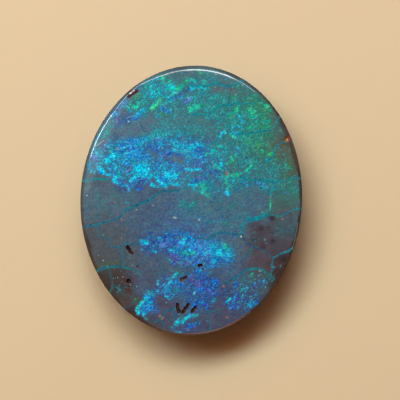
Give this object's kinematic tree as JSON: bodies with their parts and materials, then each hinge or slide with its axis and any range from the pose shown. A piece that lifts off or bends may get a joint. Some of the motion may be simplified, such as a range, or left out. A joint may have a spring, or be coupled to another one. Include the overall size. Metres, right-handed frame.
{
  "type": "boulder opal cabochon",
  "caption": "Loose polished oval boulder opal: low domed face of blue-green opal veined through dark ironstone, tapered flank and flat ground back to rest on or set in a bezel.",
  "frame": {"origin": "centre of the flat ground back, the face that the stone rests on", "axes": "+Z out of the polished face, +Y along the stone's length towards the head of the oval, +X across its width"},
  "size_m": [0.0116, 0.014, 0.0036],
  "materials": {
    "opal_in_ironstone": "polished face and shoulder, satin ground flank and back"
  },
  "bodies": {
    "root": {"boulder_opal": "opal_in_ironstone"}
  },
  "joints": []
}
